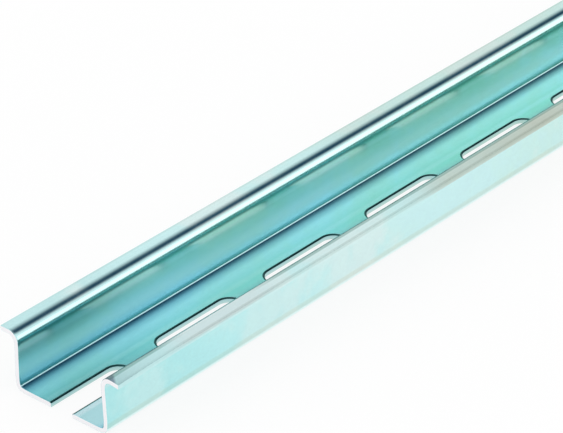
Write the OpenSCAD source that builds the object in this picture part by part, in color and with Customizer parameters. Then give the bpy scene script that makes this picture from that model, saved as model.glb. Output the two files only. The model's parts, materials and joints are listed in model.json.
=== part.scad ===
// Top-hat mounting rail, 35 mm wide and 15 mm deep, slotted base.
// One cold-rolled steel strip, zinc plated.  Millimetres, +Z up.
// Origin: middle of the base's underside, the face that goes on the panel.
// +X runs along the rail; the cut slot is at the -X end.

/* [Rail section] */
// Length the rail is sold in
rail_l = 1000; // [100:1:2000]
// Width over both lips
rail_w = 35; // [33:0.1:40]
// Depth from the panel face to the top of the lips
rail_h = 15; // [10:0.1:20]
// Width over the outside of the channel
channel_w = 27; // [25:0.1:28]
// Thickness of the strip
sheet_t = 1.2; // [0.8:0.05:1.5]
// Inside radius of the four bends
bend_r = 1.7; // [1:0.05:2]

/* [Slots] */
// Distance between slot centres
slot_pitch = 36; // [30:0.5:50]
// Slot length over its round ends
slot_l = 25.5; // [15:0.1:28]
// Slot width
slot_w = 6.3; // [4.2:0.1:8]
// Centre of the slot that the near end is cut through, from that end
first_slot = 7.8; // [0:0.1:12]
// Least metal between the last slot and the far end
end_land = 3; // [1:0.5:10]

/* [Hidden] */
arc_steps = 96;
over = 1;
half_w = rail_w / 2;
wall_out = channel_w / 2;
wall_in = wall_out - sheet_t;
outer_r = bend_r + sheet_t;
foot_y = wall_out - outer_r;
lip_y = wall_out + bend_r;
top_z = rail_h - outer_r;
slot_r = slot_w / 2;
slot_run = slot_l - slot_w;
slot_room = rail_l - end_land - first_slot - slot_l / 2;
slot_steps = floor(slot_room / slot_pitch);
zinc = [0.72, 0.86, 0.86];

// Quarter ring of the strip's thickness about the origin, in quadrant (qx, qy)
module bend_2d(qx, qy) {
    intersection() {
        difference() {
            circle(r = outer_r, $fn = arc_steps);
            circle(r = bend_r, $fn = arc_steps);
        }
        translate([qx < 0 ? -outer_r - over : 0, qy < 0 ? -outer_r - over : 0])
            square([outer_r + over, outer_r + over]);
    }
}

// Everything on the +Y side of the section: foot bend, wall, lip bend, lip
module side_2d() {
    translate([foot_y, outer_r]) bend_2d(1, -1);
    translate([wall_in, outer_r]) square([sheet_t, top_z - outer_r]);
    translate([lip_y, top_z]) bend_2d(-1, 1);
    translate([lip_y, rail_h - sheet_t]) square([half_w - lip_y, sheet_t]);
}

// Whole open section, seen from the -X end
module section_2d() {
    translate([-foot_y, 0]) square([2 * foot_y, sheet_t]);
    side_2d();
    mirror([1, 0]) side_2d();
}

// One slot lying along X, round ended
module slot_2d() {
    translate([-slot_run / 2, -slot_r]) square([slot_run, slot_w]);
    translate([-slot_run / 2, 0]) circle(r = slot_r, $fn = arc_steps);
    translate([slot_run / 2, 0]) circle(r = slot_r, $fn = arc_steps);
}

// The row of slots, the first one running out through the near end
module slot_row() {
    for (i = [0 : slot_steps])
        translate([first_slot - rail_l / 2 + i * slot_pitch, 0, -over])
            linear_extrude(height = sheet_t + 2 * over)
                slot_2d();
}

// The rail: one bent strip with its row of slots
module rail() {
    color(zinc)
        difference() {
            translate([-rail_l / 2, 0, 0])
                rotate([90, 0, 90])
                    linear_extrude(height = rail_l)
                        section_2d();
            slot_row();
        }
}

rail();
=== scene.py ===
"""A slotted top-hat mounting rail lying open side up on a pale studio floor.

The strip is made the way a rail mill makes it: a flat band gets its four bends and its
thickness, the slots are punched through the base, and the rims and cut edges are eased.
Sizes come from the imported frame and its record.  Everything is in metres, +Z up.
"""

import json
import logging
import math
from dataclasses import dataclass, field
from enum import Enum
from typing import Any, Callable, Iterable

import bmesh
import bpy
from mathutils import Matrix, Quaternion, Vector


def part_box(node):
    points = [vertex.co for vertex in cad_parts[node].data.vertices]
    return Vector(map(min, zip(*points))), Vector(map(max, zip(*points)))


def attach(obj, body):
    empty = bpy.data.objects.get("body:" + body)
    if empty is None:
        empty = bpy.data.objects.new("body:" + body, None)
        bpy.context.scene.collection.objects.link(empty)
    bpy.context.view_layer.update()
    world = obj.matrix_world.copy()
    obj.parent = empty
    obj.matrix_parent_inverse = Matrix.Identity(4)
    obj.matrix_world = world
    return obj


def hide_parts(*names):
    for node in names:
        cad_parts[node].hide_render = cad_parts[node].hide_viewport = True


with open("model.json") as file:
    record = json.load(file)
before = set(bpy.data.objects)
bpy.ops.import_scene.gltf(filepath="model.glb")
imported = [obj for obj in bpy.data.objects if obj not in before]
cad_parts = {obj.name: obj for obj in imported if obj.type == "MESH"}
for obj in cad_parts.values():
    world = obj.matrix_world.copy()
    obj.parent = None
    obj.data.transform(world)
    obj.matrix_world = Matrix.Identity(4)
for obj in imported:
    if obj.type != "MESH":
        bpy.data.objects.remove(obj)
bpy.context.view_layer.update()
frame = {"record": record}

# In metres, HAIR shorter than any real gap in the mesh.  A unit normal whose part along an
# axis is past FACING faces that way.  AIM is measured from the near end.
MM = 0.001
CAD_NODE = "rail"
BODY = "root"
HAIR = 1e-6
FINE_HAIR = 1e-7
FACING = 0.9
NOISE_SPAN = (0.3, 0.7)
AIM = (0.0824, 0.0097, 0.0075)
WHITE = (1.0, 1.0, 1.0, 1.0)
BLACK = (0.0, 0.0, 0.0, 1.0)

log = logging.getLogger("rail")

Pair = tuple[float, float]
Triple = tuple[float, float, float]
Colour = tuple[float, float, float, float]
Material = bpy.types.Material
Node = bpy.types.Node
Object = bpy.types.Object
Socket = bpy.types.NodeSocket


class Side(Enum):
    """The two long sides of the rail, with the sign of their Y."""

    LEFT = 1.0
    RIGHT = -1.0


# ---------------- sizes


@dataclass(frozen=True)
class Bend:
    """One arc of the strip, met on a walk outwards from the base.

    Attributes:
        turn: How far the strip turns up, in degrees, and below zero how far it turns down.
        radius: Radius of the arc on the underside.
        steps: Facets in the arc.
    """

    turn: float
    radius: float
    steps: int


@dataclass
class Walk:
    """A walk along the strip's underside, from the base to the tip of one lip.

    Attributes:
        out: Distance from the rail's middle line.
        up: Height.
        heading: Direction of the next step, 0 outwards and 90 up, in degrees.
    """

    out: float = 0.0
    up: float = 0.0
    heading: float = 0.0

    def centre(self, bend: Bend) -> Pair:
        """Find the centre of an arc that starts here.

        Args:
            bend: The arc.

        Returns:
            Its distance from the middle line and its height.
        """
        side = math.copysign(bend.radius, bend.turn)
        angle = math.radians(self.heading)
        return self.out - side * math.sin(angle), self.up + side * math.cos(angle)

    def turn(self, bend: Bend) -> None:
        """Walk round an arc.

        Args:
            bend: The arc.
        """
        out, up = self.centre(bend)
        side = math.copysign(bend.radius, bend.turn)
        self.heading += bend.turn
        angle = math.radians(self.heading)
        self.out = out + side * math.sin(angle)
        self.up = up - side * math.cos(angle)

    def ahead(self, length: float) -> Pair:
        """Find the step that goes straight on.

        Args:
            length: How far.

        Returns:
            The step outwards and the step up.
        """
        angle = math.radians(self.heading)
        return length * math.cos(angle), length * math.sin(angle)

    def run(self, length: float) -> None:
        """Walk straight on.

        Args:
            length: How far.
        """
        out, up = self.ahead(length)
        self.out += out
        self.up += up


@dataclass(frozen=True)
class Section:
    """Cross-section of the bent strip.

    The foot is creased tightly between two easy arcs, and the wall leans in a little above
    its middle, as it springs back from the rollers.

    Attributes:
        width: Size over both lips.
        depth: Height from the base's underside to the lips' tops.
        sheet: Thickness of the strip.
        channel: Outside width of the channel at the top of its walls.
        crease: Inside radius of the foot's crease.
        bow: Inside radius of the slight bow that the crease leaves in the base.
        swell: Inside radius of the slight swell that it leaves in the wall.
        shoulder: Inside radius of the easy arc that starts the lip's bend.
        bend: Inside radius of the lip's bend.
        lean: Angle of the wall's straight part to the base, in degrees.
        bow_turn: How far the bow turns, in degrees.
        crease_turn: How far the crease turns, in degrees.
        shoulder_turn: How far the shoulder turns, in degrees.
        guard: Width of the narrow flat kept beside each bend, so that it shades flat.
    """

    width: float
    depth: float
    sheet: float
    channel: float = 27.0 * MM
    crease: float = 0.66 * MM
    bow: float = 11.5 * MM
    swell: float = 14.0 * MM
    shoulder: float = 9.0 * MM
    bend: float = 1.65 * MM
    lean: float = 92.1
    bow_turn: float = 9.0
    crease_turn: float = 73.0
    shoulder_turn: float = 6.0
    guard: float = 0.25 * MM

    def foot(self) -> list[Bend]:
        """List the arcs that turn the base up into the wall."""
        rest = self.lean - self.bow_turn - self.crease_turn
        return [
            Bend(self.bow_turn, self.bow + self.sheet, 6),
            Bend(self.crease_turn, self.crease + self.sheet, 26),
            Bend(rest, self.swell + self.sheet, 6),
        ]

    def lip(self) -> list[Bend]:
        """List the arcs that turn the wall out into the lip."""
        return [
            Bend(-self.shoulder_turn, self.shoulder, 3),
            Bend(self.shoulder_turn - self.lean, self.bend, 26),
        ]

    def wall(self) -> Pair:
        """Place the straight part of the wall.

        Returns:
            Where the flat base ends, and how long the wall runs straight.
        """
        walk = Walk()
        for bend in self.foot():
            walk.turn(bend)
        arch = Walk(heading=walk.heading)
        for bend in self.lip():
            arch.turn(bend)
        rise = self.depth - self.sheet - arch.up - walk.up
        run = rise / math.sin(math.radians(walk.heading))
        walk.run(run)
        return self.channel / 2 - walk.out, run


@dataclass(frozen=True)
class SlotRow:
    """The row of slots in the base.

    Attributes:
        first: X of the first whole slot's centre.
        last: X of the last slot's centre.
        length: Slot length over its round ends.
        width: Slot width.
        pitch: Distance between slot centres.
        turns: Facets in a whole circle of a slot's ends.
    """

    first: float
    last: float
    length: float
    width: float
    pitch: float = 36.0 * MM
    turns: int = 56

    @property
    def count(self) -> int:
        """Number of slots, with the one that the near end is cut through."""
        return round((self.last - self.first) / self.pitch) + 2

    @property
    def cut_slot(self) -> float:
        """X of the centre of the slot that the near end is cut through."""
        return self.first - self.pitch

    def gap(self, x: float, y: float) -> float:
        """Measure how far a place lies outside the nearest slot.

        Args:
            x: Its X.
            y: Its Y.

        Returns:
            The distance from the slot's wall, below zero inside the slot.
        """
        middle = self.cut_slot + round((x - self.cut_slot) / self.pitch) * self.pitch
        beyond = max(abs(x - middle) - (self.length - self.width) / 2, 0.0)
        return math.hypot(beyond, y) - self.width / 2

    def lands(self) -> list[float]:
        """X of the middle of the metal between neighbouring slots.

        Returns:
            One X for each land, from the near end on.
        """
        return [self.cut_slot + (i + 0.5) * self.pitch for i in range(self.count - 1)]


def mount(name: str) -> dict[str, Any]:
    """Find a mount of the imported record.

    Args:
        name: The mount's name.

    Returns:
        The mount as the record has it.
    """
    return next(m for m in frame["record"]["mounts"] if m["name"] == name)


def read_section() -> Section:
    """Take the section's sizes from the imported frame.

    Returns:
        The section.
    """
    low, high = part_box(CAD_NODE)
    return Section(
        width=high.y - low.y,
        depth=high.z - low.z,
        sheet=mount("base_inner_face")["pos_m"][2],
    )


def read_slots() -> SlotRow:
    """Take the slots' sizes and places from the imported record.

    Returns:
        The row of slots.
    """
    ends = mount("fixing_slots_1")
    reach = ends["dims"]["spacing_x_mm"] * MM / 2
    return SlotRow(
        first=ends["pos_m"][0] - reach,
        last=ends["pos_m"][0] + reach,
        length=ends["dims"]["slot_length_mm"] * MM,
        width=ends["dims"]["hole_r_mm"] * 2 * MM,
    )


# ---------------- bench


@dataclass(frozen=True)
class Bench:
    """Edit-mode work on one mesh, with what an operator acts on picked by place.

    Attributes:
        piece: The mesh object to work on.
    """

    piece: Object

    def __enter__(self) -> "Bench":
        """Open the piece in edit mode with everything selected."""
        only(self.piece)
        bpy.ops.object.mode_set(mode="EDIT")
        bpy.ops.mesh.select_mode(type="VERT")
        bpy.ops.mesh.select_all(action="SELECT")
        return self

    def __exit__(self, *_: object) -> None:
        """Close edit mode."""
        bpy.ops.object.mode_set(mode="OBJECT")

    def pick(self, kind: str, test: Callable[[Any], bool]) -> None:
        """Select the parts of the mesh that pass a test, and nothing else.

        Args:
            kind: The kind of part: VERT, EDGE or FACE.
            test: Takes a part and says whether it is wanted.
        """
        bpy.ops.mesh.select_mode(type=kind)
        bpy.ops.mesh.select_all(action="DESELECT")
        shape = bmesh.from_edit_mesh(self.piece.data)
        for part in {"VERT": shape.verts, "EDGE": shape.edges, "FACE": shape.faces}[kind]:
            if test(part):
                part.select = True
        if kind == "VERT":
            shape.select_flush_mode()
            shape.select_flush(True)
        bmesh.update_edit_mesh(self.piece.data)

    def extrude(self, step: Vector) -> None:
        """Extrude what is picked by one step.

        Args:
            step: How far, and which way.
        """
        bpy.ops.mesh.extrude_region_move(TRANSFORM_OT_translate={"value": tuple(step)})


def only(piece: Object) -> None:
    """Select one object and make it active.

    Args:
        piece: The object.
    """
    bpy.ops.object.select_all(action="DESELECT")
    piece.select_set(True)
    bpy.context.view_layer.objects.active = piece


def finish_with(piece: Object, kind: str, **settings: Any) -> None:
    """Add a modifier to a piece and apply it.

    Args:
        piece: The object.
        kind: The modifier's type.
        **settings: Values for the modifier's properties.
    """
    only(piece)
    modifier = piece.modifiers.new(kind.title(), kind)
    for name, value in settings.items():
        setattr(modifier, name, value)
    bpy.ops.object.modifier_apply(modifier=modifier.name)


# ---------------- finishes


class Gauge(Enum):
    """A value that varies over the rail's skin."""

    ALONG = "X"
    ACROSS = "distance from the middle line"
    HEIGHT = "Z"
    SIDE = "Y"
    CORNER = "X, further on the more a place lies outwards"
    PATCHES = "broad random pattern"
    BLOTCHES = "broad random pattern with a little of the finer one"
    FADES = "the same with less of the finer one"
    THICKNESS = "thickness of the film, which grows along the rail"
    BETWEEN = "mask of what lies between the walls' outsides"
    CHANNEL = "mask of the channel's inside"
    OUTSIDE = "mask of the walls' outsides and the lips"
    CREASE = "mask of the foot's crease"
    FOOT = "mask of the channel without the crease, weaker along the rail"
    RIGHT = "mask of the right half of the rail"
    BROW = "mask of the top of the right lip and of its bend"


ALONG, ACROSS, HEIGHT, SIDE, CORNER, PATCHES, BLOTCHES, FADES, THICKNESS, *MASKS = Gauge
BETWEEN, CHANNEL, OUTSIDE, CREASE, FOOT, RIGHT, BROW = MASKS
LENGTHS = (ALONG, ACROSS, HEIGHT, SIDE, CORNER)


@dataclass(frozen=True)
class Edge:
    """A soft edge of a mark.

    Attributes:
        gauge: What it is read off.
        start: Where the mark starts to show, in millimetres where the gauge is a length.
        full: Where it shows fully.
        least: How much shows before the start.
        most: How much shows past the full edge.
    """

    gauge: Gauge
    start: float
    full: float
    least: float = 0.0
    most: float = 1.0


@dataclass(frozen=True)
class Mark:
    """One layer of the skin's colour: a mark on the film, painted shade or a painted highlight.

    Attributes:
        tint: Its red, green and blue.
        edges: Its soft edges, which are multiplied.
        zone: Mask that it is held in.
        strength: How much of it shows at most.
        covers: Whether it hides the colour under it, which it multiplies if not.
    """

    tint: Triple
    edges: tuple[Edge, ...] = ()
    zone: Gauge | None = None
    strength: float = 1.0
    covers: bool = False


HIGH_UP = Edge(HEIGHT, 6.5, 9.5)
BAND_TINT = (0.84, 0.935, 0.915)

# Every mark on the film and every painted shade and highlight over it, from the lowest layer up.
FILM_AND_PAINTED_LIGHT = (
    # The painted shade in the channel: a darker tint over its whole inside.
    Mark((0.490, 0.797, 0.845), zone=CHANNEL, covers=True),
    # The greener tint where the film is thick.
    Mark((0.985, 0.970, 0.880), (Edge(THICKNESS, 0.55, 1.25),)),
    # The greyer film where the bath drained off the near end.
    Mark((0.90, 0.93, 0.93), (Edge(ALONG, -450, -490), Edge(CHANNEL, 0, 1, 0.9, 1))),
    # The painted shade high on the walls, under the lips: darker and greener there.
    Mark((0.80, 0.955, 0.87), (HIGH_UP,), CHANNEL),
    # Darker and greyer still, high on the walls beside the near end.
    Mark((0.64, 0.72, 0.765), (HIGH_UP, Edge(ALONG, -455, -485)), CHANNEL),
    # Two bands on the walls, a little darker.
    Mark(BAND_TINT, (Edge(HEIGHT, 5.0, 7.5), Edge(HEIGHT, 10.3, 9.8)), CHANNEL),
    Mark(BAND_TINT, (Edge(HEIGHT, 10.9, 11.3),), CHANNEL),
    # The thin film beside the slots.
    Mark(
        (0.59, 0.825, 0.87),
        (Edge(ACROSS, 3.3, 4.2), Edge(ACROSS, 5.6, 4.6)),
        CHANNEL,
        covers=True,
    ),
    # The painted shade either side of the crease.
    Mark((0.66, 0.80, 0.885), (Edge(ACROSS, 9.6, 12.0), Edge(HEIGHT, 5.0, 2.6)), FOOT),
    # The painted highlight in the crease itself: a paler tint.
    Mark((0.72, 0.93, 0.97), zone=CREASE, strength=0.6, covers=True),
    # Uneven blotches on the walls.
    Mark((1.0, 0.992, 0.945), (Edge(BLOTCHES, 0.6, 0.8), Edge(HEIGHT, 2, 5)), CHANNEL),
    # The sheared metal inside the slots.
    Mark((0.80, 0.80, 0.78), (Edge(ACROSS, 3.25, 3.15), Edge(HEIGHT, 0.95, 0.9))),
    # The painted shade in a line right under the lips' bends.
    Mark((0.60, 0.65, 0.64), (Edge(HEIGHT, 11.5, 12.2), Edge(HEIGHT, 12.75, 12.35)), BETWEEN),
    # Greyer on the start of the lips' bends.
    Mark(
        (0.78, 0.78, 0.80),
        (Edge(ACROSS, 14.6, 13.9), Edge(ACROSS, 13.3, 13.6), Edge(HEIGHT, 13.2, 14.0)),
    ),
    # Paler patches outside the channel.
    Mark((0.74, 0.885, 0.885), (Edge(FADES, 0.62, 0.8, 0, 0.7),), OUTSIDE, covers=True),
    # The bluer film outside the walls beside the near end.
    Mark((0.80, 0.975, 0.98), (Edge(ALONG, -400, -490), Edge(HEIGHT, 12.6, 11.5)), OUTSIDE),
    # Paler along the foot outside.
    Mark((0.80, 0.965, 0.955), (Edge(HEIGHT, 2.0, 1.4, 0, 0.9),), OUTSIDE, covers=True),
    # The warm line just above it.
    Mark((0.98, 0.91, 0.86), (Edge(HEIGHT, 3.5, 2.6), Edge(HEIGHT, 1.5, 2.0)), OUTSIDE),
    # The yellowed film on the lips, mostly the right one.
    Mark(
        (0.535, 0.585, 0.50),
        (
            Edge(ACROSS, 13.9, 15.2),
            Edge(SIDE, 1, -1, 0.25, 1),
            Edge(ALONG, -408, -385),
            Edge(PATCHES, 0.25, 0.6, 0.65, 1),
        ),
        covers=True,
    ),
    # Darker on the right lip's bend.
    Mark((0.47, 0.57, 0.54), (Edge(ACROSS, 15.35, 14.8),), BROW),
    # The painted shade on the corner of the right lip beside the near cut.
    Mark((0.50, 0.47, 0.54), (Edge(CORNER, -486.2, -487.2),), BROW),
    # The greyer patch on the right lip.
    Mark(
        (0.67, 0.80, 0.81),
        (Edge(HEIGHT, 14.3, 14.7), Edge(ALONG, -487, -475), Edge(ALONG, -443, -458)),
        RIGHT,
        strength=0.85,
        covers=True,
    ),
    # The darker tips of the lips.
    Mark(
        (0.86, 0.86, 0.84),
        (
            Edge(ACROSS, 16.6, 17.1),
            Edge(HEIGHT, 14.0, 14.6),
            Edge(ALONG, -487, -475, 0.4, 1),
            Edge(RIGHT, 0, 1, 0.6, 1),
        ),
    ),
)


@dataclass(frozen=True)
class PlatedFinish:
    """Zinc plating under a thin blue passivation.

    Attributes:
        outside: Tint of the film where nothing marks it.
        marks: The marks on it, with the painted shade and highlights, from the lowest layer up.
        patch_scale: Broad random patches per metre.
        mottle_scale: Finer random patches per metre.
        speckle_scale: Finest random spots per metre.
        streaks: Rolling lines per metre along X, Y and Z.
        speckled: Darkest and palest of those spots, as shares of the tint.
        mottled: Darkest and palest of the finer patches.
        roughness: Lowest and highest roughness of the skin.
        matt_span: Sums of lines and finer patches at which they are reached.
        grain: Strength of the rolling lines.
        grain_depth: Depth of the rolling lines.
        wave: Strength of the sheet's waviness.
        wave_depth: Depth of the waviness.
    """

    outside: Colour = (0.615, 0.895, 0.905, 1.0)
    marks: tuple[Mark, ...] = FILM_AND_PAINTED_LIGHT
    patch_scale: float = 42.0
    mottle_scale: float = 240.0
    speckle_scale: float = 1500.0
    streaks: Triple = (22.0, 5200.0, 5200.0)
    speckled: Pair = (0.985, 1.01)
    mottled: Pair = (0.988, 1.01)
    roughness: Pair = (0.14, 0.23)
    matt_span: Pair = (0.5, 1.3)
    grain: float = 0.04
    grain_depth: float = 0.05 * MM
    wave: float = 0.35
    wave_depth: float = 0.12 * MM


@dataclass(frozen=True)
class CutFinish:
    """Bare steel where the rail was cut to length.

    Attributes:
        colour: Tint of the cut face.
        shade: Tint between the marks of the blade.
        streaks: Marks of the blade per metre along X, Y and Z.
        roughness: Roughness of the cut face.
        grain: Strength of the blade's marks.
        grain_depth: Depth of the blade's marks.
    """

    colour: Colour = (0.985, 0.97, 0.99, 1.0)
    shade: Colour = (0.90, 0.89, 0.92, 1.0)
    streaks: Triple = (400.0, 300.0, 6500.0)
    roughness: float = 0.42
    grain: float = 0.12
    grain_depth: float = 0.1 * MM


@dataclass(frozen=True)
class RimShadeFinish:
    """Painted shade on the rolled rims of the slots, a near black tint on their faces.

    Attributes:
        colour: Tint of the painted shade on the rim.
        darkest: How far the tint goes down in its darker patches.
        patch_scale: Patches per metre.
        roughness: Roughness of the rim.
    """

    colour: Colour = (0.030, 0.125, 0.120, 1.0)
    darkest: float = 0.75
    patch_scale: float = 900.0
    roughness: float = 0.3


@dataclass(frozen=True)
class Nodes:
    """A node tree with short calls to add and wire its nodes.

    Attributes:
        tree: The shader node tree.
        rows: Nodes in each column of the grid they are drawn on.
        spacing: Distance between them there, in the editor's units.
    """

    tree: bpy.types.NodeTree
    rows: int = 12
    spacing: float = 220.0

    @classmethod
    def of(cls, owner: Any) -> "Nodes":
        """Empty a node tree and wrap it.

        Args:
            owner: The material or world that has the tree.

        Returns:
            The empty tree.
        """
        owner.use_nodes = True
        owner.node_tree.nodes.clear()
        return cls(owner.node_tree)

    def add(self, kind: str, **settings: Any) -> Node:
        """Add a node, drawn in the next free place of a grid in the editor.

        Args:
            kind: The node's type.
            **settings: Values for the node's own properties.

        Returns:
            The new node.
        """
        column, row = divmod(len(self.tree.nodes), self.rows)
        node = self.tree.nodes.new(kind)
        node.location = (self.spacing * column, -self.spacing * row)
        for name, value in settings.items():
            setattr(node, name, value)
        return node

    def feed(self, value: Any, stop: Socket) -> None:
        """Give an input its value.

        Args:
            value: A socket to wire to it, or a constant.
            stop: The input socket.
        """
        if isinstance(value, Socket):
            self.tree.links.new(value, stop)
        else:
            stop.default_value = value

    def fill(self, node: Node, **values: Any) -> None:
        """Give a node's inputs their values.

        Args:
            node: The node.
            **values: Sockets or constants, by the inputs' names with _ for a space.
        """
        for name, value in values.items():
            self.feed(value, node.inputs[name.replace("_", " ")])

    def maths(self, work: str, *values: Any) -> Socket:
        """Add a Math node.

        Args:
            work: The operation.
            *values: What it works on, sockets or numbers.

        Returns:
            The node's output.
        """
        node = self.add("ShaderNodeMath", operation=work)
        for value, socket in zip(values, node.inputs):
            self.feed(value, socket)
        return node.outputs[0]

    def product(self, *values: Any) -> Socket:
        """Multiply values.

        Args:
            *values: Two or more sockets or numbers.

        Returns:
            Their product.
        """
        result = values[0]
        for value in values[1:]:
            result = self.maths("MULTIPLY", result, value)
        return result

    def ease(self, value: Socket, span: Pair, reach: Pair = (0.0, 1.0)) -> Socket:
        """Turn a value into one that eases from one number to another.

        Args:
            value: The value.
            span: Where the change starts and ends.
            reach: The numbers before and after it.

        Returns:
            The eased value.
        """
        node = self.add("ShaderNodeMapRange", interpolation_type="SMOOTHSTEP")
        self.fill(node, Value=value, From_Min=span[0], From_Max=span[1])
        self.fill(node, To_Min=reach[0], To_Max=reach[1])
        return node.outputs["Result"]

    def cloud(self, vector: Socket, scale: float, detail: float, rough: float = 0.5) -> Socket:
        """Add a soft random pattern.

        Args:
            vector: The coordinates.
            scale: Patches per metre.
            detail: How many finer layers it has.
            rough: How strong the finer layers are.

        Returns:
            The pattern's value, around a half.
        """
        node = self.add("ShaderNodeTexNoise")
        self.fill(node, Vector=vector, Scale=scale, Detail=detail, Roughness=rough)
        return node.outputs["Fac"]

    def tint(self, amount: Any, under: Any, over: Any, blend: str = "MIX") -> Socket:
        """Lay one colour over another.

        Args:
            amount: How much of the upper colour shows, a socket or a number.
            under: The lower colour, a socket or a colour.
            over: The upper colour, a socket or a colour.
            blend: How they are blended.

        Returns:
            The colour.
        """
        node = self.add("ShaderNodeMix", data_type="RGBA", blend_type=blend)
        self.fill(node, Factor=amount, A=under, B=over)
        return node.outputs["Result"]

    def bump(
        self, height: Socket, strength: float, depth: float, under: Socket | None = None
    ) -> Socket:
        """Add a bump.

        Args:
            height: The pattern that it follows.
            strength: Its strength.
            depth: Height of the pattern from 0 to 1.
            under: The normal that it is laid on.

        Returns:
            The normal.
        """
        node = self.add("ShaderNodeBump")
        self.fill(node, Height=height, Strength=strength, Distance=depth)
        if under is not None:
            self.fill(node, Normal=under)
        return node.outputs["Normal"]


def streak_group() -> bpy.types.NodeTree:
    """Build the group that draws fine streaks along one direction.

    Returns:
        The node group, with inputs Vector and Stretch and output Height.
    """
    group = bpy.data.node_groups.new("streaks", "ShaderNodeTree")
    group.interface.new_socket("Vector", in_out="INPUT", socket_type="NodeSocketVector")
    group.interface.new_socket("Stretch", in_out="INPUT", socket_type="NodeSocketVector")
    group.interface.new_socket("Height", in_out="OUTPUT", socket_type="NodeSocketFloat")
    nodes = Nodes(group)
    start, stop = nodes.add("NodeGroupInput"), nodes.add("NodeGroupOutput")
    scaled = nodes.add("ShaderNodeVectorMath", operation="MULTIPLY")
    nodes.feed(start.outputs["Vector"], scaled.inputs[0])
    nodes.feed(start.outputs["Stretch"], scaled.inputs[1])
    fine = nodes.cloud(scaled.outputs[0], 1.0, 3.0, 0.65)
    coarse = nodes.cloud(scaled.outputs[0], 0.21, 2.0)
    mixed = nodes.product(nodes.maths("ADD", fine, coarse), 0.5)
    nodes.fill(stop, Height=mixed)
    return group


class Skin:
    """The values that the plated skin's marks are read off.

    Attributes:
        nodes: The material's nodes.
        gauges: Each gauge's socket.
        mottle: The finer random pattern.
    """

    def __init__(self, nodes: Nodes, place: Socket, finish: PlatedFinish) -> None:
        """Build the gauges.

        Args:
            nodes: The material's nodes.
            place: Object coordinates.
            finish: The finish, for the scales of its patterns.
        """
        self.nodes = nodes
        axes = nodes.add("ShaderNodeSeparateXYZ")
        nodes.fill(axes, Vector=place)
        across = nodes.maths("ABSOLUTE", axes.outputs["Y"])
        patches = nodes.cloud(place, finish.patch_scale, 3.0)
        self.mottle = nodes.cloud(place, finish.mottle_scale, 3.0)
        self.gauges = {
            ALONG: axes.outputs["X"],
            ACROSS: across,
            HEIGHT: axes.outputs["Z"],
            SIDE: axes.outputs["Y"],
            CORNER: nodes.maths("MULTIPLY_ADD", across, 0.8, axes.outputs["X"]),
            PATCHES: patches,
            BLOTCHES: nodes.maths("MULTIPLY_ADD", self.mottle, 0.4, patches),
            FADES: nodes.maths("MULTIPLY_ADD", self.mottle, 0.3, patches),
        }
        self._add_thickness()
        self._add_zones()

    def read(self, edge: Edge) -> Socket:
        """Read one soft edge.

        Args:
            edge: The edge.

        Returns:
            How much shows.
        """
        unit = MM if edge.gauge in LENGTHS else 1.0
        span = (edge.start * unit, edge.full * unit)
        return self.nodes.ease(self.gauges[edge.gauge], span, (edge.least, edge.most))

    def mask(self, mark: Mark) -> Socket:
        """Build the mask of a mark.

        Args:
            mark: The mark.

        Returns:
            How much of it shows.
        """
        parts: list[Any] = [self.read(edge) for edge in mark.edges]
        if mark.zone is not None:
            parts.append(self.gauges[mark.zone])
        if mark.strength < 1.0:
            parts.append(mark.strength)
        return self.nodes.product(*parts)

    def _add_thickness(self) -> None:
        """Build the film's thickness, which grows along the rail and is uneven."""
        grown = self.read(Edge(ALONG, -470, -330, -0.10, 0.22))
        patchy = self.nodes.maths("ADD", grown, self.gauges[PATCHES])
        self.gauges[THICKNESS] = self.nodes.maths("MULTIPLY_ADD", self.mottle, 0.5, patchy)

    def _add_zones(self) -> None:
        """Build the masks that marks are held in."""
        nodes, gauges = self.nodes, self.gauges
        between = self.read(Edge(ACROSS, 13.4, 12.9))
        above_base = self.read(Edge(HEIGHT, 0.3, 0.9))
        below_lips = self.read(Edge(HEIGHT, 12.85, 12.40))
        channel = nodes.product(between, above_base, below_lips)
        past_base = self.read(Edge(ACROSS, 12.1, 12.4))
        crease = nodes.product(past_base, self.read(Edge(HEIGHT, 2.0, 1.7)), channel)
        further_on = self.read(Edge(ALONG, -480, -380))
        loss = nodes.product(self.read(Edge(HEIGHT, 1.9, 2.4, 0.7, 0.2)), further_on)
        kept = [nodes.maths("SUBTRACT", 1.0, part) for part in (crease, loss)]
        gauges[BETWEEN] = between
        gauges[CHANNEL] = channel
        gauges[OUTSIDE] = nodes.maths("SUBTRACT", 1.0, between)
        gauges[CREASE] = crease
        gauges[FOOT] = nodes.product(channel, *kept)
        gauges[RIGHT] = self.read(Edge(SIDE, 1, -1))
        gauges[BROW] = nodes.product(gauges[RIGHT], self.read(Edge(HEIGHT, 13.4, 14.0)))


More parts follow.
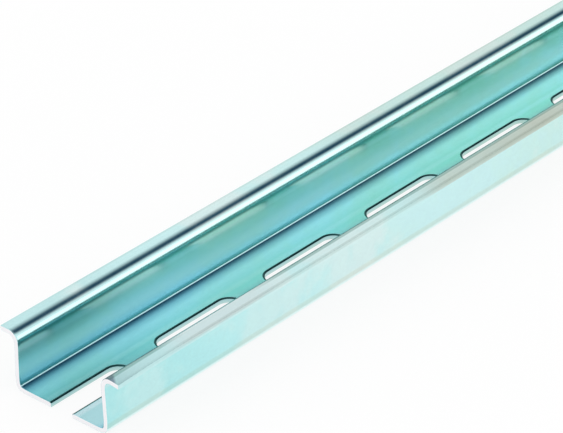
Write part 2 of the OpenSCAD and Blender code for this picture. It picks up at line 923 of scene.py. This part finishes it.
@dataclass(frozen=True)
class FinishShop:
    """Makes the rail's materials.

    Attributes:
        streaks: The group that draws fine streaks, which the materials share.
    """

    streaks: bpy.types.NodeTree = field(default_factory=streak_group)

    def _start(self, name: str) -> tuple[Material, Nodes, Node, Socket]:
        """Make a bare metal material.

        Args:
            name: The material's name.

        Returns:
            The material, its nodes, the shader node and the object coordinates.
        """
        material = bpy.data.materials.new(name)
        nodes = Nodes.of(material)
        output = nodes.add("ShaderNodeOutputMaterial")
        shader = nodes.add("ShaderNodeBsdfPrincipled")
        nodes.fill(shader, Metallic=1.0)
        nodes.fill(output, Surface=shader.outputs[0])
        coordinates = nodes.add("ShaderNodeTexCoord")
        return material, nodes, shader, coordinates.outputs["Object"]

    def _streaks(self, nodes: Nodes, place: Socket, stretch: Triple) -> Socket:
        """Place the streak group.

        Args:
            nodes: The material's nodes.
            place: Object coordinates.
            stretch: Streaks per metre along X, Y and Z.

        Returns:
            The streaks' height.
        """
        group = nodes.add("ShaderNodeGroup", node_tree=self.streaks)
        nodes.fill(group, Vector=place, Stretch=stretch)
        return group.outputs["Height"]

    def plated(self, finish: PlatedFinish) -> Material:
        """Make the plated skin.

        Args:
            finish: Its tints and textures.

        Returns:
            The material.
        """
        material, nodes, shader, place = self._start("zinc_blue_passivated")
        skin = Skin(nodes, place, finish)
        colour: Any = finish.outside
        for mark in finish.marks:
            blend = "MIX" if mark.covers else "MULTIPLY"
            colour = nodes.tint(skin.mask(mark), colour, (*mark.tint, 1.0), blend)

        spots = nodes.cloud(place, finish.speckle_scale, 2.0)
        spots = nodes.ease(spots, NOISE_SPAN, finish.speckled)
        shades = nodes.product(spots, nodes.ease(skin.mottle, NOISE_SPAN, finish.mottled))
        grey = nodes.add("ShaderNodeCombineColor")
        for part in grey.inputs:
            nodes.feed(shades, part)
        colour = nodes.tint(1.0, colour, grey.outputs[0], "MULTIPLY")

        lines = self._streaks(nodes, place, finish.streaks)
        matt = nodes.maths("MULTIPLY_ADD", skin.mottle, 0.8, lines)
        matt = nodes.ease(matt, finish.matt_span, finish.roughness)

        wavy = nodes.bump(skin.gauges[PATCHES], finish.wave, finish.wave_depth)
        normal = nodes.bump(lines, finish.grain, finish.grain_depth, wavy)
        nodes.fill(shader, Base_Color=colour, Roughness=matt, Normal=normal)
        return material

    def cut(self, finish: CutFinish) -> Material:
        """Make the bare cut face.

        Args:
            finish: Its tints and textures.

        Returns:
            The material.
        """
        material, nodes, shader, place = self._start("steel_cut_face")
        lines = self._streaks(nodes, place, finish.streaks)
        tint = nodes.tint(lines, finish.shade, finish.colour)
        normal = nodes.bump(lines, finish.grain, finish.grain_depth)
        nodes.fill(shader, Base_Color=tint, Roughness=finish.roughness, Normal=normal)
        return material

    def rim(self, finish: RimShadeFinish) -> Material:
        """Make the painted shade on the rolled rim of a slot.

        Args:
            finish: Its tint and roughness.

        Returns:
            The material.
        """
        material, nodes, shader, place = self._start("zinc_rolled_rim")
        uneven = nodes.ease(nodes.cloud(place, finish.patch_scale, 2.0), NOISE_SPAN)
        darker = tuple(finish.darkest * part for part in finish.colour)
        tint = nodes.tint(uneven, finish.colour, darker)
        nodes.fill(shader, Base_Color=tint, Roughness=finish.roughness)
        return material


# ---------------- the rail


@dataclass
class Strip:
    """The rail: one strip, bent, punched and cut to length.

    Attributes:
        section: Sizes across the rail.
        slots: The row of slots.
        near_x: X of the near end.
        far_x: X of the far end.
        rim: Width that the punch rolls over at a slot's upper rim.
        rim_tilt: How steep the rolled rim is where the metal sheared, in radians.
        rim_steps: Facets across the rolled rim.
        rim_dark: Share of the rim's width that is painted with shade.
        rim_slopes: Least and greatest upward part of the normals of a rim's faces painted with
            shade.
        rim_angle: Least angle between faces at a slot's square rim.
        eased: Radius left on every other edge.
        eased_angle: Least angle between faces that is eased.
        smooth_angle: Largest angle between faces that is shaded smooth.
        settle_run: Length of lip beside the near cut that has sprung down.
        settle: How far the near right lip has sprung down at the cut.
        settle_cuts: Cuts across the skin along that length.
        piece: The object, from the first step on.
    """

    section: Section
    slots: SlotRow
    near_x: float
    far_x: float
    rim: float = 0.66 * MM
    rim_tilt: float = math.radians(36.0)
    rim_steps: int = 8
    rim_dark: float = 0.85
    rim_slopes: Pair = (0.7, 0.9995)
    rim_angle: float = math.radians(60.0)
    eased: float = 0.09 * MM
    eased_angle: float = math.radians(55.0)
    smooth_angle: float = math.radians(32.0)
    settle_run: float = 20.0 * MM
    settle: float = 0.45 * MM
    settle_cuts: int = 10
    piece: Object = field(init=False)

    def build(self) -> Object:
        """Make the whole strip.

        Returns:
            The finished object.
        """
        self._lay_band()
        for side in Side:
            self._bend_side(side)
        self._cross_cuts()
        self._thicken()
        self._punch()
        self._roll_rims()
        self._ease_edges()
        self._settle_lip()
        self._shade()
        return self.piece

    def _lay_band(self) -> None:
        """Lay the flat underside of the base."""
        length = self.far_x - self.near_x
        middle = ((self.far_x + self.near_x) / 2, 0.0, 0.0)
        bpy.ops.mesh.primitive_plane_add(size=1.0, location=middle)
        self.piece = bpy.context.active_object
        self.piece.name = self.piece.data.name = "rail_strip"
        half = self.section.wall()[0] - self.section.guard
        self.piece.scale = (length, 2 * half, 1.0)
        bpy.ops.object.transform_apply()

    def _bend_side(self, side: Side) -> None:
        """Bend up one wall and turn out its lip.

        Args:
            side: Which long side.
        """
        cut = self.section
        flat_end, wall = cut.wall()
        walk = Walk(out=flat_end - cut.guard)
        edge = side.value * walk.out

        def run(length: float) -> None:
            """Extrude the open edge straight on.

            Args:
                length: How far.
            """
            out, up = walk.ahead(length)
            bench.extrude(Vector((0.0, side.value * out, up)))
            walk.run(length)

        def turn(bend: Bend) -> None:
            """Spin the open edge round an arc.

            Args:
                bend: The arc.
            """
            out, up = walk.centre(bend)
            angle = math.radians(bend.turn) * side.value
            # A spin turns the other way about its axis, so the angle is negated.
            bpy.ops.mesh.spin(
                steps=bend.steps,
                angle=-angle,
                center=(0.0, side.value * out, up),
                axis=(1.0, 0.0, 0.0),
            )
            walk.turn(bend)

        with Bench(self.piece) as bench:
            bench.pick("VERT", lambda vert: abs(vert.co.y - edge) < cut.guard / 2)
            run(cut.guard)
            for bend in cut.foot():
                turn(bend)
            run(cut.guard)
            run(wall - 2 * cut.guard)
            run(cut.guard)
            for bend in cut.lip():
                turn(bend)
            run(cut.guard)
            run(cut.width / 2 - walk.out)

    def _cross_cuts(self) -> None:
        """Cut the skin across between slots, and more closely beside the near end."""
        parts = [(i + 1) / self.settle_cuts for i in range(self.settle_cuts)]
        close = [self.near_x + self.settle_run * part**1.5 for part in parts]
        with Bench(self.piece):
            for x in close + self.slots.lands():
                bpy.ops.mesh.select_all(action="SELECT")
                bpy.ops.mesh.bisect(
                    plane_co=(x, 0.0, 0.0), plane_no=(1.0, 0.0, 0.0), threshold=FINE_HAIR
                )

    def _thicken(self) -> None:
        """Give the skin the strip's thickness, upwards and inwards."""
        with Bench(self.piece):
            bpy.ops.mesh.remove_doubles(threshold=HAIR)
            bpy.ops.mesh.normals_make_consistent(inside=False)
        lowest = min(self.piece.data.polygons, key=lambda face: face.center.z)
        if lowest.normal.z > 0:
            self.piece.data.flip_normals()
        finish_with(
            self.piece, "SOLIDIFY", thickness=self.section.sheet, offset=-1.0, use_even_offset=True
        )

    def _punch(self) -> None:
        """Punch the row of slots through the base."""
        row = self.slots
        run = row.length - row.width
        bpy.ops.mesh.primitive_cylinder_add(
            vertices=row.turns,
            radius=row.width / 2,
            depth=6 * self.section.sheet,
            location=(row.cut_slot + run / 2, 0.0, 0.0),
        )
        punch = bpy.context.active_object
        bpy.ops.object.transform_apply()
        with Bench(punch) as bench:
            bpy.ops.mesh.bisect(
                plane_co=(row.cut_slot + run / 2, 0.0, 0.0),
                plane_no=(1.0, 0.0, 0.0),
                use_fill=True,
                clear_inner=True,
                threshold=FINE_HAIR,
            )
            bench.pick("FACE", lambda face: face.normal.x < -FACING)
            bench.extrude(Vector((-run / 2, 0.0, 0.0)))
            bpy.ops.mesh.delete(type="FACE")
        # The half is mirrored with its slot's middle at X 0, and put back.
        punch.location.x = -row.cut_slot
        bpy.ops.object.transform_apply()
        finish_with(punch, "MIRROR", merge_threshold=HAIR)
        punch.location.x = row.cut_slot
        bpy.ops.object.transform_apply()
        finish_with(
            punch,
            "ARRAY",
            count=row.count,
            use_relative_offset=False,
            use_constant_offset=True,
            constant_offset_displace=(row.pitch, 0.0, 0.0),
        )
        with Bench(punch):
            bpy.ops.mesh.normals_make_consistent(inside=False)
        finish_with(self.piece, "BOOLEAN", operation="DIFFERENCE", solver="EXACT", object=punch)
        bpy.data.objects.remove(punch, do_unlink=True)

    def _roll_rims(self) -> None:
        """Roll over the upper rim of every slot, down to the edge where the metal sheared."""
        top, reach = self.section.sheet, self.slots.width / 2 + 0.01 * MM

        def is_rim(edge: bmesh.types.BMEdge) -> bool:
            """Say whether an edge runs round a slot's upper rim.

            Args:
                edge: The edge.

            Returns:
                Whether it does.
            """
            level = all(abs(v.co.z - top) < HAIR and abs(v.co.y) < reach for v in edge.verts)
            return level and edge.calc_face_angle(0.0) > self.rim_angle

        with Bench(self.piece) as bench:
            bench.pick("EDGE", is_rim)
            bpy.ops.mesh.bevel(
                offset=self.rim,
                offset_type="OFFSET",
                segments=self.rim_steps,
                profile=0.5,
                affect="EDGES",
            )
        radius = self.rim / math.sin(self.rim_tilt)
        for vert in self.piece.data.vertices:
            inwards = self.rim - self.slots.gap(vert.co.x, vert.co.y)
            in_rim = -HAIR < inwards < self.rim + HAIR
            if in_rim and top - self.rim - HAIR < vert.co.z < top + HAIR:
                vert.co.z = top - radius + math.sqrt(radius**2 - inwards**2)

    def _ease_edges(self) -> None:
        """Take the sharpness off every edge that is still square."""
        finish_with(
            self.piece,
            "BEVEL",
            width=self.eased,
            segments=2,
            limit_method="ANGLE",
            angle_limit=self.eased_angle,
            use_clamp_overlap=False,
        )

    def _settle_lip(self) -> None:
        """Let the right lip hang a little beside the near cut, where the bend sprang back."""
        cut = self.section
        for vert in self.piece.data.vertices:
            along = (vert.co.x - self.near_x) / self.settle_run
            outward = (-vert.co.y - cut.channel / 2) / (cut.width / 2 - cut.channel / 2)
            if along < 1.0 and outward > 0.0:
                vert.co.z -= self.settle * (1.0 - along) ** 2 * outward

    def _shade(self) -> None:
        """Shade the bends smooth and the flats flat."""
        only(self.piece)
        bpy.ops.object.shade_smooth_by_angle(angle=self.smooth_angle)
        finish_with(self.piece, "WEIGHTED_NORMAL", mode="FACE_AREA", weight=80, keep_sharp=True)

    def dress(self, plated: Material, cut: Material, rim: Material) -> None:
        """Give the skin, the cut ends and the slots' rims their materials.

        Args:
            plated: The plated skin.
            cut: The bare cut faces.
            rim: The painted shade on the rolled rims.
        """
        self.piece.data.materials.clear()
        for material in (plated, cut, rim):
            self.piece.data.materials.append(material)
        # Rim faces within this width of a slot's edge get the painted shade.
        dark = self.rim_dark * self.rim
        for face in self.piece.data.polygons:
            place = face.center
            at_end = min(abs(place.x - self.near_x), abs(place.x - self.far_x)) < 10 * HAIR
            sloping = self.rim_slopes[0] < face.normal.z < self.rim_slopes[1]
            on_top = place.z > self.section.sheet - self.rim
            by_slot = abs(place.y) < self.slots.width
            if at_end and abs(face.normal.x) > FACING:
                face.material_index = 1
            elif sloping and on_top and by_slot and self.slots.gap(place.x, place.y) < dark:
                face.material_index = 2


# ---------------- studio


@dataclass(frozen=True)
class Viewpoint:
    """Where the camera stands.

    Attributes:
        target: The point it looks at.
        azimuth: Turn about the target, 0 looking along +Y, in degrees.
        elevation: Height above the horizon, in degrees.
        roll: Tilt about the line of sight, in degrees.
        distance: From the target.
        lens: Focal length in millimetres on a 36 mm wide sensor.
    """

    target: Vector
    azimuth: float = -48.26
    elevation: float = 30.72
    roll: float = -0.94
    distance: float = 0.7485
    lens: float = 207.7

    def place(self) -> None:
        """Make the camera and set it as the scene's."""
        turn, rise = math.radians(self.azimuth), math.radians(self.elevation)
        back = Vector((math.sin(turn), -math.cos(turn), 0.0)) * math.cos(rise)
        back.z = math.sin(rise)
        data = bpy.data.cameras.new("camera")
        data.lens = self.lens
        data.clip_end = 100.0
        camera = bpy.data.objects.new("camera", data)
        bpy.context.collection.objects.link(camera)
        camera.location = self.target + back * self.distance
        level = (-back).to_track_quat("-Z", "Y")
        tilt = Quaternion((0.0, 0.0, 1.0), math.radians(self.roll))
        camera.rotation_mode = "QUATERNION"
        camera.rotation_quaternion = level @ tilt
        bpy.context.scene.camera = camera


@dataclass
class Studio:
    """A pale floor, a soft lamp and pale walls under a darker ceiling.

    Attributes:
        near_x: X of the rail's near end, which the lamp faces.
        floor_size: Side of the floor.
        floor_gap: How far the floor lies under the rail, so that they don't share a plane.
        paint: Colour of the floor.
        glow: Share of the floor's white glow in what is seen or mirrored of it.
        ceiling: Colour of the dark strip overhead.
        strip: How dark the strip is from the left wall, -1, over the top, 0, to the right, 1.
        shy: Shortest reach across the rail that the strip's place is worked out with.
        ends: How far along the rail a direction points where the strip ends and starts.
        middle: How far along it points where the strip is palest and where it is full.
        palest: Strength of the strip straight across the rail.
        lamp_size: Width and height of the lamp.
        lamp_power: Power of the lamp, in watts.
        lamp_way: Direction from the rail's near end to the lamp.
        lamp_distance: Distance between them.
    """

    near_x: float
    floor_size: float = 60.0
    floor_gap: float = 0.05 * MM
    paint: Colour = (0.97, 0.97, 0.97, 1.0)
    glow: float = 0.84
    ceiling: Colour = (0.0, 0.052, 0.100, 1.0)
    strip: tuple[Pair, ...] = (
        *((-0.80, 0.0), (-0.47, 0.35), (-0.20, 0.72), (0.02, 0.97), (0.10, 1.0)),
        *((0.28, 1.0), (0.37, 0.90), (0.52, 0.52), (0.62, 0.16), (0.70, 0.0)),
    )
    shy: float = 0.05
    ends: Pair = (0.93, 0.80)
    middle: Pair = (0.20, 0.50)
    palest: float = 0.62
    lamp_size: Pair = (1.0, 0.62)
    lamp_power: float = 1.0
    lamp_way: Triple = (0.68, -0.73, 0.26)
    lamp_distance: float = 1.4

    def build(self) -> None:
        """Make the floor, the room's light and the lamp."""
        bpy.context.scene.view_settings.view_transform = "Standard"
        self._floor()
        self._room()
        self._lamp()

    def _floor(self) -> None:
        """Lay the pale floor, which is seen nearly white and still takes a shadow."""
        bpy.ops.mesh.primitive_plane_add(size=self.floor_size, location=(0, 0, -self.floor_gap))
        floor = bpy.context.active_object
        floor.name = "studio_floor"
        material = bpy.data.materials.new("pale_floor")
        nodes = Nodes.of(material)
        output = nodes.add("ShaderNodeOutputMaterial")
        paint = nodes.add("ShaderNodeBsdfDiffuse")
        nodes.fill(paint, Color=self.paint)
        lift = nodes.add("ShaderNodeEmission")
        nodes.fill(lift, Color=WHITE, Strength=1.0)
        rays = nodes.add("ShaderNodeLightPath")
        seen = nodes.maths("MAXIMUM", rays.outputs["Is Camera Ray"], rays.outputs["Is Glossy Ray"])
        both = nodes.add("ShaderNodeMixShader")
        nodes.fill(both, Fac=nodes.product(seen, self.glow))
        nodes.feed(paint.outputs[0], both.inputs[1])
        nodes.feed(lift.outputs[0], both.inputs[2])
        nodes.fill(output, Surface=both.outputs[0])
        floor.data.materials.append(material)

    def _room(self) -> None:
        """Light the scene white, and show mirrored rays a dark strip along the ceiling."""
        world = bpy.data.worlds.new("studio_room")
        bpy.context.scene.world = world
        nodes = Nodes.of(world)
        output = nodes.add("ShaderNodeOutputWorld")
        light = nodes.add("ShaderNodeBackground")
        nodes.fill(output, Surface=light.outputs[0])
        way = nodes.add("ShaderNodeTexCoord")
        axes = nodes.add("ShaderNodeSeparateXYZ")
        nodes.fill(axes, Vector=way.outputs["Generated"])
        side = nodes.maths("ABSOLUTE", axes.outputs["X"])
        ends = nodes.ease(side, self.ends)
        along = nodes.product(ends, nodes.ease(side, self.middle, (self.palest, 1.0)))
        dark = nodes.product(along, self._across(nodes, axes))
        seen = nodes.tint(dark, WHITE, self.ceiling)
        rays = nodes.add("ShaderNodeLightPath")
        colour = nodes.tint(rays.outputs["Is Glossy Ray"], WHITE, seen)
        nodes.fill(light, Color=colour)

    def _across(self, nodes: Nodes, axes: Node) -> Socket:
        """Build the strip's strength from the left wall over the top to the right.

        Args:
            nodes: The world's nodes.
            axes: The node with the direction's parts.

        Returns:
            The strength.
        """
        flat = nodes.product(axes.outputs["Y"], axes.outputs["Y"])
        upright = nodes.product(axes.outputs["Z"], axes.outputs["Z"])
        reach = nodes.maths("SQRT", nodes.maths("ADD", flat, upright))
        reach = nodes.maths("MAXIMUM", reach, self.shy)
        left = nodes.maths("DIVIDE", axes.outputs["Y"], reach)
        spot = nodes.maths("MULTIPLY_ADD", left, -0.5, 0.5)
        room = nodes.add("ShaderNodeValToRGB")
        ramp = room.color_ramp
        for place, dark in self.strip:
            stop = ramp.elements.new((place + 1) / 2)
            stop.color = (dark, dark, dark, 1.0)
        ramp.elements[0].color = ramp.elements[-1].color = BLACK
        nodes.fill(room, Fac=spot)
        return room.outputs["Color"]

    def _lamp(self) -> None:
        """Hang the soft lamp on the right, low and wide."""
        data = bpy.data.lights.new("soft_lamp", "AREA")
        data.shape = "RECTANGLE"
        data.size, data.size_y = self.lamp_size
        data.energy = self.lamp_power
        lamp = bpy.data.objects.new("soft_lamp", data)
        bpy.context.collection.objects.link(lamp)
        way = Vector(self.lamp_way).normalized()
        lamp.location = Vector((self.near_x, 0.0, 0.0)) + way * self.lamp_distance
        lamp.rotation_mode = "QUATERNION"
        lamp.rotation_quaternion = way.to_track_quat("Z", "Y")
        lamp.visible_camera = False


def main() -> None:
    """Build the rail, its finishes and the studio, and report the rail's faces and slots."""
    logging.basicConfig(level=logging.INFO, format="%(name)s: %(message)s")
    low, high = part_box(CAD_NODE)
    strip = Strip(read_section(), read_slots(), low.x, high.x)
    piece = strip.build()
    log.info("%s: %d faces, %d slots", piece.name, len(piece.data.polygons), strip.slots.count)

    shop = FinishShop()
    strip.dress(shop.plated(PlatedFinish()), shop.cut(CutFinish()), shop.rim(RimShadeFinish()))
    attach(piece, BODY)
    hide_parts(CAD_NODE)

    Viewpoint(target=Vector((low.x, 0.0, 0.0)) + Vector(AIM)).place()
    Studio(near_x=low.x).build()


if __name__ == "__main__":
    main()
